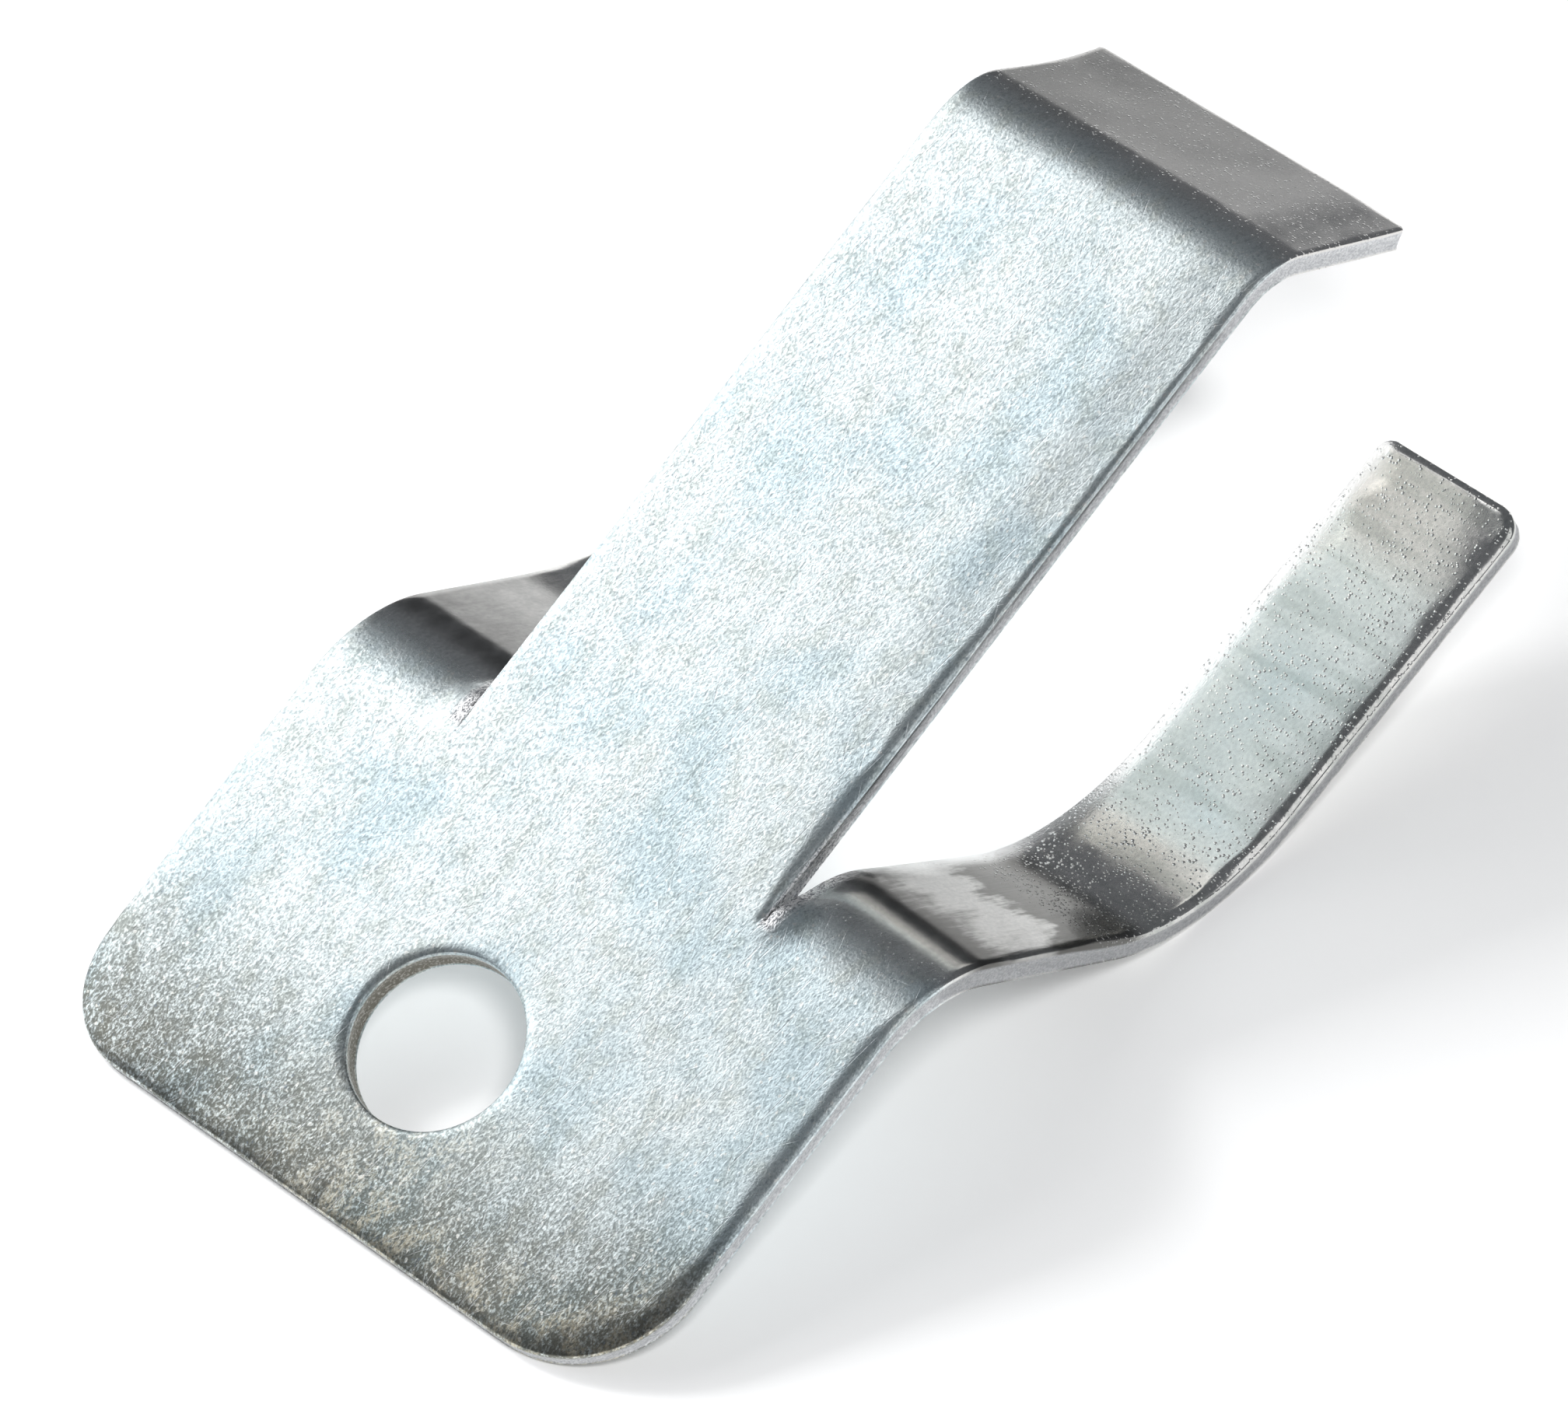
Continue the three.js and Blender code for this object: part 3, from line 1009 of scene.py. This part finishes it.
def polished_colour(graph, at):
    """Smoother zinc on the legs and the lip, with painted shade, painted dark reflections and painted
    highlights laid over it.
    """
    colour = graph.mix(graph.between(at.grain, 0.3, 0.7), POLISHED_DULL, POLISHED_LIGHT)
    band = graph.noise(at.blank, BAND_SCALE, 2.0, 0.5)
    on_level = graph.between(at.s, *LEVEL_BANDS_FROM)
    band = graph.product(graph.between(band, 0.46, 0.64), on_level, BAND_TINT_SHARE)
    colour = graph.mix(band, colour, BAND_TINT, "MULTIPLY")
    # Painted shade: the legs' slopes are darkened, dimming the bright floor they mirror
    on_slope = graph.stretch(at.s, SLOPE_PAINTED_SHADE_FROM, SLOPE_PAINTED_SHADE_UNTIL)
    colour = graph.mix(graph.product(on_slope, SLOPE_PAINTED_SHADE_SHARE), colour, SLOPE_PAINTED_SHADE)
    # Painted reflections: dark bands where the slopes mirror dark things
    dark_bands = graph.product(dark_reflection_bands(graph, at), DARK_REFLECTION_SHARE)
    colour = graph.mix(dark_bands, colour, DARK_REFLECTION_BAND)
    # Painted light and shade: the lip's grey is lighter on its right and darker on its left, evening out
    # how its reflection fades across it
    lip_shaded_grey = graph.mix(graph.between(at.y, -7.0, 7.0), LIP_RIGHT_LIT_GREY, LIP_LEFT_SHADED_GREY)
    colour = graph.mix(graph.product(at.on_lip, LIP_SHARE), colour, lip_shaded_grey)
    # Painted highlights: the pimples are painted near white, as if each caught a glint of light
    raised = graph.product(at.pimple, graph.math("GREATER_THAN", at.pimple_size, SMALLEST_PIMPLE))
    colour = graph.mix(raised, colour, PIMPLE_HIGHLIGHT_WHITE)
    # Painted highlight along the legs' inner edges
    return graph.mix(at.bright_inner_edge, colour, BRIGHT_EDGE_HIGHLIGHT)


def cut_colour(graph, at):
    """The cut walls, stained inside the hole, and darkened on the legs with painted shade."""
    colour = graph.mix(graph.between(at.fine, 0.3, 0.7), CUT_DARK, CUT_LIGHT)
    stained = graph.mix(graph.between(at.fine, 0.5, 0.64), HOLE_DARK, HOLE_LIGHT)
    hole_middle = (*HOLE_CENTRE, THICKNESS / 2)
    from_hole = graph.vector("DISTANCE", at.blank, hole_middle, output="Value")
    in_hole = graph.between(from_hole, *STAIN_FROM_HOLE_MIDDLE)
    colour = graph.mix(in_hole, colour, stained)
    # Painted shade: the legs' cut walls are darkened to stand for the shadowed floor they mirror
    return graph.mix(graph.product(at.on_leg, LEG_WALL_SHADE_SHARE), colour, LEG_WALL_PAINTED_SHADE)


def zinc_colour(graph, at):
    colour = graph.mix(at.smooth, satin_colour(graph, at), polished_colour(graph, at))
    stain = graph.product(
        graph.between(at.s, *STAIN_UNTIL),
        graph.between(at.y, *STAIN_ACROSS),
        graph.between(at.edge, *STAIN_FROM_EDGE),
        graph.between(at.blotch, 0.4, 0.6),
        graph.between(at.grain, 0.35, 0.6),
    )
    colour = graph.mix(graph.product(stain, TARNISH_SHARE), colour, TARNISH)
    colour = graph.mix(at.wall, colour, cut_colour(graph, at))
    # Painted glints: the torn metal is dark grey with white flecks standing in for sparkles of light
    glints = graph.mix(graph.between(at.fine, 0.4, 0.54), TORN_DARK, TORN_GLINT_WHITE)
    return graph.mix(at.torn, colour, glints)


def zinc_roughness(graph, at):
    satin = graph.between(at.speckle, 0.4, 0.85, *reversed(SATIN_ROUGHNESS))
    polished = graph.between(at.blotch, 0.3, 0.7, *POLISHED_ROUGHNESS)
    polished = graph.blend(graph.math("MAXIMUM", at.pimple, at.bright_inner_edge), polished, PIMPLE_ROUGHNESS)
    face = graph.blend(at.smooth, satin, polished)
    cut = graph.between(at.depth, *FRACTURE_DEPTHS, *CUT_ROUGHNESS)
    return graph.blend(at.wall, face, cut)


def zinc_relief(graph, at):
    """Heights above the mesh, in millimetres."""
    satin = graph.sum(graph.product(at.grain, GRAIN_HEIGHT), graph.product(at.fine, FINE_HEIGHT))
    satin = graph.sum(satin, graph.product(at.scratched, SCRATCH_HEIGHT))
    drag_marks = graph.product(
        at.streak,
        at.on_right,
        graph.between(at.s, *DRAG_MARKS_FROM),
        graph.between(at.s, *DRAG_MARKS_UNTIL),
        DRAG_MARK_HEIGHT,
    )
    pimples = graph.product(at.pimple, at.pimple_size, PIMPLE_HEIGHT)
    polished = graph.sum(graph.product(at.fine, POLISHED_HEIGHT), pimples, drag_marks)
    fracture = graph.product(at.fine, graph.between(at.depth, *FRACTURE_DEPTHS), FRACTURE_HEIGHT)
    face = graph.blend(at.smooth, satin, polished)
    height = graph.blend(at.wall, face, fracture)
    height = graph.math("ADD", height, graph.product(at.torn, at.fine, TORN_HEIGHT))
    return graph.math("ADD", height, graph.product(at.bright_inner_edge, at.fine, BRIGHT_EDGE_HEIGHT))


def zinc_material():
    material = bpy.data.materials.new("zinc_plate")
    material.use_nodes = True
    graph = Graph(material.node_tree)
    shader = material.node_tree.nodes["Principled BSDF"]
    at = Surface(graph)
    bump = {"Height": zinc_relief(graph, at), "Distance": MM, "Strength": 1.0}
    graph.put(shader.inputs["Metallic"], 1.0)
    graph.put(shader.inputs["Base Color"], zinc_colour(graph, at))
    graph.put(shader.inputs["Roughness"], zinc_roughness(graph, at))
    graph.put(shader.inputs["Normal"], graph.add("ShaderNodeBump", bump))
    return material


clip.data.materials.append(zinc_material())


# Floor
FLOOR_REACH = 1.5
FLOOR_COLOUR = (0.9, 0.9, 0.9, 1)
FLOOR_GLOW = 0.21


def pale_floor():
    material = bpy.data.materials.new("pale_floor")
    material.use_nodes = True
    shader = material.node_tree.nodes["Principled BSDF"]
    shader.inputs["Base Color"].default_value = FLOOR_COLOUR
    shader.inputs["Roughness"].default_value = 0.9
    shader.inputs["Specular IOR Level"].default_value = 0.0
    shader.inputs["Emission Color"].default_value = (1, 1, 1, 1)
    shader.inputs["Emission Strength"].default_value = FLOOR_GLOW
    signs = [(-1, -1), (1, -1), (1, 1), (-1, 1)]
    corners = [(x * FLOOR_REACH, y * FLOOR_REACH, cad_box[0].z) for x, y in signs]
    mesh = bpy.data.meshes.new("floor")
    mesh.from_pydata(corners, [], [(0, 1, 2, 3)])
    mesh.materials.append(material)
    floor = bpy.data.objects.new("floor", mesh)
    bpy.context.collection.objects.link(floor)
    return floor


floor = pale_floor()


# Camera: angles in degrees, distances in metres
CAMERA_AZIMUTH = -44.5
CAMERA_ELEVATION = 46.38
CAMERA_ROLL = 3.32
CAMERA_DISTANCE = 0.37673
CAMERA_LENS = 234.07
AIM_RIGHT = -0.00033
AIM_UP = -0.00275


def add_camera():
    data = bpy.data.cameras.new("camera")
    data.lens = CAMERA_LENS
    data.sensor_width = 36
    data.clip_start = 0.01
    azimuth, elevation = math.radians(CAMERA_AZIMUTH), math.radians(CAMERA_ELEVATION)
    level = math.cos(elevation)
    back = Vector((math.sin(azimuth) * level, -math.cos(azimuth) * level, math.sin(elevation)))
    upright = (-back).to_track_quat("-Z", "Y").to_matrix()
    turned = upright @ Matrix.Rotation(-math.radians(CAMERA_ROLL), 3, "Z")
    centre = (cad_box[0] + cad_box[1]) / 2
    aim = centre + turned.col[0] * AIM_RIGHT + turned.col[1] * AIM_UP
    camera = bpy.data.objects.new("camera", data)
    camera.matrix_world = Matrix.Translation(aim + back * CAMERA_DISTANCE) @ turned.to_4x4()
    bpy.context.collection.objects.link(camera)
    return camera


camera = add_camera()
bpy.context.scene.camera = camera
bpy.context.scene.view_settings.view_transform = "Standard"


# Light: soft boxes, with their long side along the tongue
STUDIO_GREY = (0.112, 0.117, 0.126, 1)


def direction(azimuth, elevation):
    """Unit vector towards a place round the clip: azimuth is turned from +Y towards -X."""
    turn, rise = math.radians(azimuth), math.radians(elevation)
    level = math.cos(rise)
    return Vector((-math.sin(turn) * level, math.cos(turn) * level, math.sin(rise)))


def mirrored(s, y):
    """A place on the flat of the tongue or plate, and the direction that the camera sees in it."""
    place = Vector(to_row_frame(*(np.array([value]) for value in (s, y, 0.0)))[0])
    view = (place - camera.matrix_world.translation).normalized()
    return place, view.reflect(Vector(seat_axis))


def softbox(name, towards, distance, width, height, radiance, origin=Vector(), receivers=None):
    lamp = bpy.data.lights.new(name, "AREA")
    lamp.shape = "RECTANGLE"
    lamp.size, lamp.size_y = width, height
    lamp.energy = radiance * math.pi * width * height
    holder = bpy.data.objects.new(name, lamp)
    bpy.context.collection.objects.link(holder)
    along = Vector((seat_axis[2], 0, -seat_axis[0]))
    across = along.cross(towards).normalized()
    axes = Matrix((across, towards.cross(across), towards)).transposed()
    holder.location = origin + towards * distance
    holder.rotation_mode = "QUATERNION"
    holder.rotation_quaternion = axes.to_quaternion()
    holder.visible_camera = False
    if receivers:
        group = bpy.data.collections.new(name + "_receivers")
        for thing in receivers:
            group.objects.link(thing)
        holder.light_linking.receiver_collection = group


softbox("window", direction(12, 36), distance=0.5, width=0.5, height=0.6, radiance=1.42)
softbox(
    "fill", direction(192, 42), distance=0.5, width=0.45, height=0.4, radiance=0.7, receivers=[clip]
)
glare_place, glare_direction = mirrored(35, 20)
softbox(
    "near_window", glare_direction, distance=0.11, width=0.022, height=0.056, radiance=1.5,
    origin=glare_place, receivers=[clip],
)
softbox(
    "floor_wash", direction(128, 52), distance=0.24, width=0.046, height=0.046, radiance=38.0,
    origin=Vector((0.03, -0.02, 0)), receivers=[floor],
)
softbox(
    "floor_key", direction(14, 40), distance=0.24, width=0.072, height=0.072, radiance=22.0,
    receivers=[floor],
)

world = bpy.data.worlds.new("studio")
world.use_nodes = True
world.node_tree.nodes["Background"].inputs["Color"].default_value = STUDIO_GREY
bpy.context.scene.world = world
